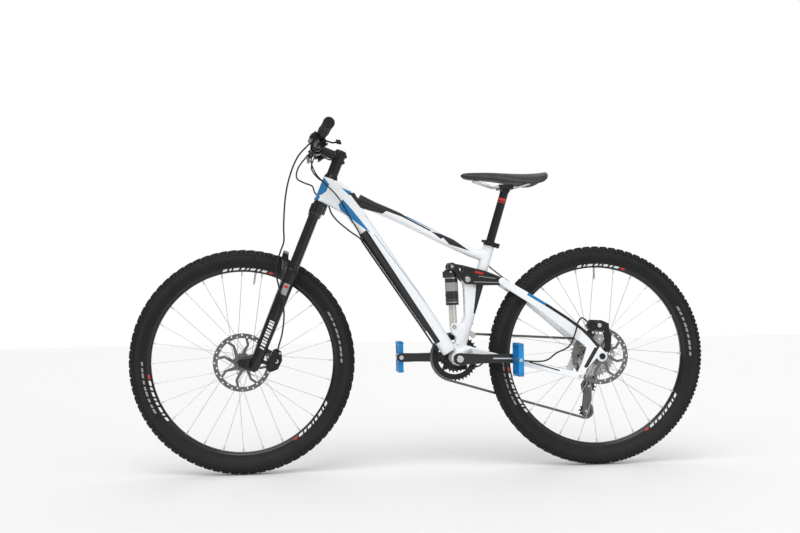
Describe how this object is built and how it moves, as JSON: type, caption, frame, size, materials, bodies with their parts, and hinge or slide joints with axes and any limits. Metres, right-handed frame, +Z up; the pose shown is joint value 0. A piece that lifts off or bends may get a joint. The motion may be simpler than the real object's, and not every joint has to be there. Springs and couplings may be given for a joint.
{
  "type": "full-suspension mountain bike",
  "caption": "White full-suspension trail bike with black suspension fork, disc brakes, derailleur gears, blue platform pedals and knobbly 27.5 inch tyres.",
  "frame": {"origin": "on the ground, midway between the two axles, in the bike's middle plane", "axes": "+X forward, +Y to the rider's left, +Z up"},
  "size_m": [1.822, 0.721, 1.0592],
  "materials": {
    "white_paint": "gloss",
    "fork_paint": "gloss",
    "black_alloy": "satin",
    "black_plastic": "matte",
    "saddle_cover": "matte",
    "grip_rubber": "matte",
    "tyre_rubber": "matte",
    "steel": "satin",
    "grey_alloy": "satin",
    "blue_paint": "gloss",
    "hose_skin": "matte"
  },
  "bodies": {
    "frame": {"head_tube": "white_paint", "top_tube": "white_paint", "down_tube": "white_paint", "tube_guard": "black_plastic", "seat_tube": "white_paint", "pivot_strut": "white_paint", "bb_shell": "white_paint", "seat_collar": "black_alloy", "front_derailleur": "black_alloy", "brake_hoses": "hose_skin", "shift_cables": "hose_skin", "chain": "steel"},
    "fd_cage": {"fd_cage": "steel"},
    "seat_lever": {"seat_lever": "black_alloy"},
    "seat": {"seatpost": "black_alloy", "saddle": "saddle_cover", "saddle_rails": "steel"},
    "steering": {"fork_crown": "fork_paint", "steerer_spacers": "black_alloy", "stem": "black_alloy", "handlebar": "black_alloy", "grips": "grip_rubber", "control_left": "black_plastic", "control_right": "black_plastic"},
    "brake_blade_left": {"brake_blade_left": "black_alloy"},
    "brake_blade_right": {"brake_blade_right": "black_alloy"},
    "shift_paddle_left": {"shift_paddle_left": "black_plastic"},
    "shift_paddle_right": {"shift_paddle_right": "black_plastic"},
    "fork_lowers": {"fork_lowers": "fork_paint", "front_caliper": "black_alloy", "front_axle": "black_alloy"},
    "front_wheel": {"front_tyre": "tyre_rubber", "front_rim": "black_alloy", "front_spokes": "steel", "front_hub": "black_alloy", "front_rotor": "steel"},
    "chainstay": {"chainstay": "white_paint"},
    "seatstay": {"seatstay": "white_paint", "rear_axle": "black_alloy", "rear_caliper": "black_alloy"},
    "rear_wheel": {"rear_tyre": "tyre_rubber", "rear_rim": "black_alloy", "rear_spokes": "steel", "rear_hub": "black_alloy", "rear_rotor": "steel"},
    "cassette": {"cassette": "steel"},
    "rocker": {"rocker": "black_alloy"},
    "shock_shaft": {"shock_shaft": "steel"},
    "shock_body": {"shock_body": "fork_paint"},
    "crank": {"crank_left": "grey_alloy", "crank_right": "grey_alloy", "chainrings": "black_alloy", "pedal_spindles": "steel"},
    "pedal_left": {"pedal_left": "blue_paint"},
    "pedal_right": {"pedal_right": "blue_paint"},
    "rd_body": {"rd_body": "black_alloy"},
    "rd_cage": {"rd_cage": "steel"},
    "pulley_upper": {"pulley_upper": "black_plastic"},
    "pulley_lower": {"pulley_lower": "black_plastic"}
  },
  "joints": [
    {"name": "steering", "type": "hinge", "parent": "frame", "child": "steering", "pos_m": [0.29571, 0, 0.8853], "axis": [-0.3746, 0, 0.9272], "range_deg": [-60, 60], "deforming": ["brake_hoses", "shift_cables"]},
    {"name": "fork_travel", "type": "slide", "parent": "steering", "child": "fork_lowers", "axis": [-0.3746, 0, 0.9272], "range_m": [0, 0.15], "stiffness_N_per_m": 3000, "springref_m": -0.03, "deforming": ["brake_hoses", "shift_cables"]},
    {"name": "front_wheel_spin", "type": "hinge", "parent": "fork_lowers", "child": "front_wheel", "pos_m": [0.562, 0, 0.349], "axis": [0, 1, 0], "continuous": true},
    {"name": "brake_lever_left", "type": "hinge", "parent": "steering", "child": "brake_blade_left", "pos_m": [0.34465, 0.16974, 1.01268], "axis": [0.5747, 0.0173, 0.8182], "range_deg": [0, 14], "stiffness_Nm_per_rad": 1.5, "springref_deg": -17.19},
    {"name": "brake_lever_right", "type": "hinge", "parent": "steering", "child": "brake_blade_right", "pos_m": [0.34465, -0.16974, 1.01268], "axis": [-0.5747, 0.0173, -0.8182], "range_deg": [0, 14], "stiffness_Nm_per_rad": 1.5, "springref_deg": -17.19},
    {"name": "shift_lever_left", "type": "hinge", "parent": "steering", "child": "shift_paddle_left", "pos_m": [0.31138, 0.16091, 1.00935], "axis": [-0.5747, -0.0173, -0.8182], "range_deg": [0, 22], "stiffness_Nm_per_rad": 0.5, "springref_deg": -17.19},
    {"name": "shift_lever_right", "type": "hinge", "parent": "steering", "child": "shift_paddle_right", "pos_m": [0.31138, -0.16091, 1.00935], "axis": [0.5747, -0.0173, 0.8182], "range_deg": [0, 22], "stiffness_Nm_per_rad": 0.5, "springref_deg": -17.19},
    {"name": "suspension_swing", "type": "hinge", "parent": "frame", "child": "chainstay", "pos_m": [-0.148, 0, 0.372], "axis": [0, 1, 0], "range_deg": [0, 20], "deforming": ["chain", "brake_hoses", "shift_cables"]},
    {"name": "dropout_pivot", "type": "hinge", "parent": "chainstay", "child": "seatstay", "pos_m": [-0.487, 0, 0.289], "axis": [0, 1, 0], "range_deg": [-12, 0], "deforming": ["chain", "brake_hoses", "shift_cables"]},
    {"name": "rocker_pivot", "type": "hinge", "parent": "frame", "child": "rocker", "pos_m": [-0.145, 0, 0.5965], "axis": [0, 1, 0], "range_deg": [0, 48.9]},
    {"name": "shock_pivot", "type": "hinge", "parent": "frame", "child": "shock_shaft", "pos_m": [-0.102, 0, 0.448], "axis": [0, 1, 0], "range_deg": [0, 6.6]},
    {"name": "shock_stroke", "type": "slide", "parent": "shock_shaft", "child": "shock_body", "axis": [-0.0316, 0, -0.9995], "range_m": [0, 0.0498]},
    {"name": "rear_wheel_spin", "type": "hinge", "parent": "seatstay", "child": "rear_wheel", "pos_m": [-0.562, 0, 0.349], "axis": [0, 1, 0], "continuous": true},
    {"name": "cassette_spin", "type": "hinge", "parent": "seatstay", "child": "cassette", "pos_m": [-0.562, 0, 0.349], "axis": [0, 1, 0], "continuous": true, "deforming": ["chain"]},
    {"name": "crank_spin", "type": "hinge", "parent": "frame", "child": "crank", "pos_m": [-0.112, 0, 0.348], "axis": [0, 1, 0], "continuous": true, "deforming": ["chain"]},
    {"name": "pedal_spin_left", "type": "hinge", "parent": "crank", "child": "pedal_left", "pos_m": [-0.282, 0, 0.348], "axis": [0, 1, 0], "continuous": true},
    {"name": "pedal_spin_right", "type": "hinge", "parent": "crank", "child": "pedal_right", "pos_m": [0.058, 0, 0.348], "axis": [0, 1, 0], "continuous": true},
    {"name": "front_derailleur_shift", "type": "slide", "parent": "frame", "child": "fd_cage", "axis": [0, 1, 0], "range_m": [0, 0.0075], "stiffness_N_per_m": 600, "springref_m": -0.01, "deforming": ["chain", "brake_hoses", "shift_cables"]},
    {"name": "derailleur_swing", "type": "hinge", "parent": "seatstay", "child": "rd_body", "pos_m": [-0.572, 0, 0.32], "axis": [0, -1, 0], "range_deg": [0, 12], "stiffness_Nm_per_rad": 6, "springref_deg": -22.92, "deforming": ["chain", "brake_hoses", "shift_cables"]},
    {"name": "cage_swing", "type": "hinge", "parent": "rd_body", "child": "rd_cage", "pos_m": [-0.548, 0, 0.246], "axis": [0, -1, 0], "range_deg": [0, 40], "stiffness_Nm_per_rad": 1, "springref_deg": -34.38, "deforming": ["chain", "brake_hoses", "shift_cables"]},
    {"name": "upper_pulley_spin", "type": "hinge", "parent": "rd_cage", "child": "pulley_upper", "pos_m": [-0.548, 0, 0.246], "axis": [0, 1, 0], "continuous": true, "deforming": ["chain"]},
    {"name": "lower_pulley_spin", "type": "hinge", "parent": "rd_cage", "child": "pulley_lower", "pos_m": [-0.537, 0, 0.166], "axis": [0, 1, 0], "continuous": true, "deforming": ["chain"]},
    {"name": "saddle_height", "type": "slide", "parent": "frame", "child": "seat", "axis": [-0.2924, 0, 0.9563], "range_m": [-0.1, 0.03]},
    {"name": "seat_clamp_lever", "type": "hinge", "parent": "frame", "child": "seat_lever", "pos_m": [-0.24657, 0.0155, 0.70265], "axis": [-0.2924, 0, 0.9563], "range_deg": [0, 140]}
  ],
  "couplings": [
    {"joint": "dropout_pivot", "follows": "suspension_swing", "ratio": -0.596},
    {"joint": "rocker_pivot", "follows": "suspension_swing", "ratio": 2.441},
    {"joint": "shock_pivot", "follows": "suspension_swing", "ratio": 0.329},
    {"joint": "shock_stroke", "follows": "suspension_swing", "m_per_rad": 0.1424},
    {"joint": "cassette_spin", "follows": "crank_spin", "ratio": 1.5833},
    {"joint": "upper_pulley_spin", "follows": "crank_spin", "ratio": -3.4545},
    {"joint": "lower_pulley_spin", "follows": "crank_spin", "ratio": 3.4545}
  ]
}
